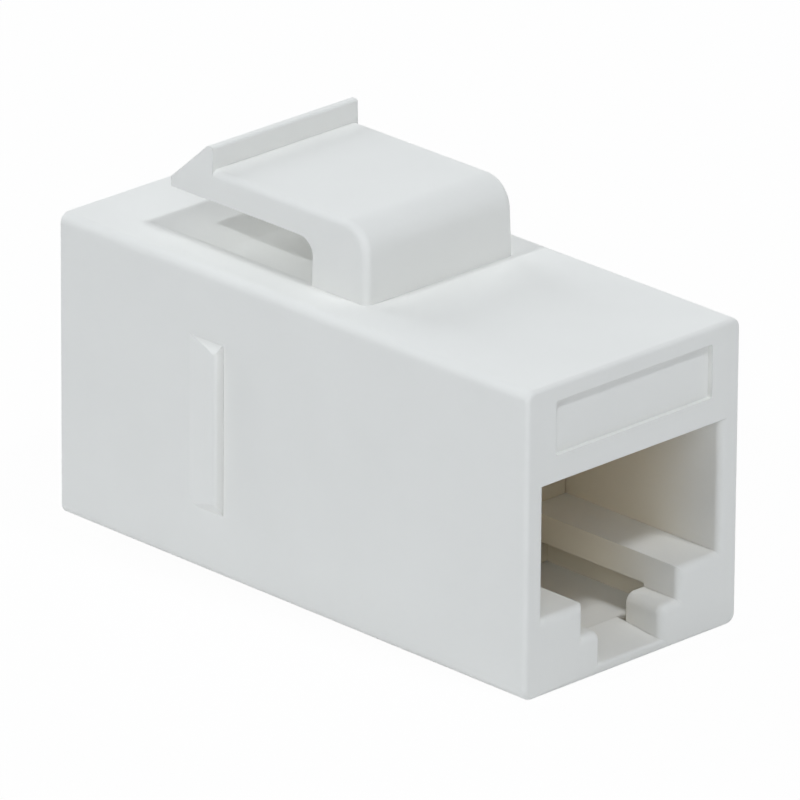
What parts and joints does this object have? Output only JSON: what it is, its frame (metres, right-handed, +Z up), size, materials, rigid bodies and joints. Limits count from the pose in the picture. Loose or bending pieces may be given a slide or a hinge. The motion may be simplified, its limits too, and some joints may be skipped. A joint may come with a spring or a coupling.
{
  "type": "rj45 inline coupler",
  "caption": "White box-shaped inline coupler in keystone format, with a modular socket at each end and a snap-in latch arm on top, joining two network patch leads.",
  "frame": {"origin": "under the middle of the housing, level with the foot of the fixed hook", "axes": "+Y along the body from the rear socket to the panel socket, +Z up towards the latch, +X across"},
  "size_m": [0.0156, 0.0328, 0.022],
  "materials": {
    "housing": "fine satin moulded",
    "bezel": "fine satin moulded",
    "carrier": "natural moulded",
    "board": "solder mask",
    "contact": "gold plated"
  },
  "bodies": {
    "root": {"housing": "housing", "panel_bezel": "bezel", "rear_contact_carrier": "carrier", "panel_contact_carrier": "carrier", "circuit_board": "board", "rear_contact_1": "contact", "rear_contact_2": "contact", "rear_contact_3": "contact", "rear_contact_4": "contact", "rear_contact_5": "contact", "rear_contact_6": "contact", "rear_contact_7": "contact", "rear_contact_8": "contact", "panel_contact_1": "contact", "panel_contact_2": "contact", "panel_contact_3": "contact", "panel_contact_4": "contact", "panel_contact_5": "contact", "panel_contact_6": "contact", "panel_contact_7": "contact", "panel_contact_8": "contact"}
  },
  "joints": []
}
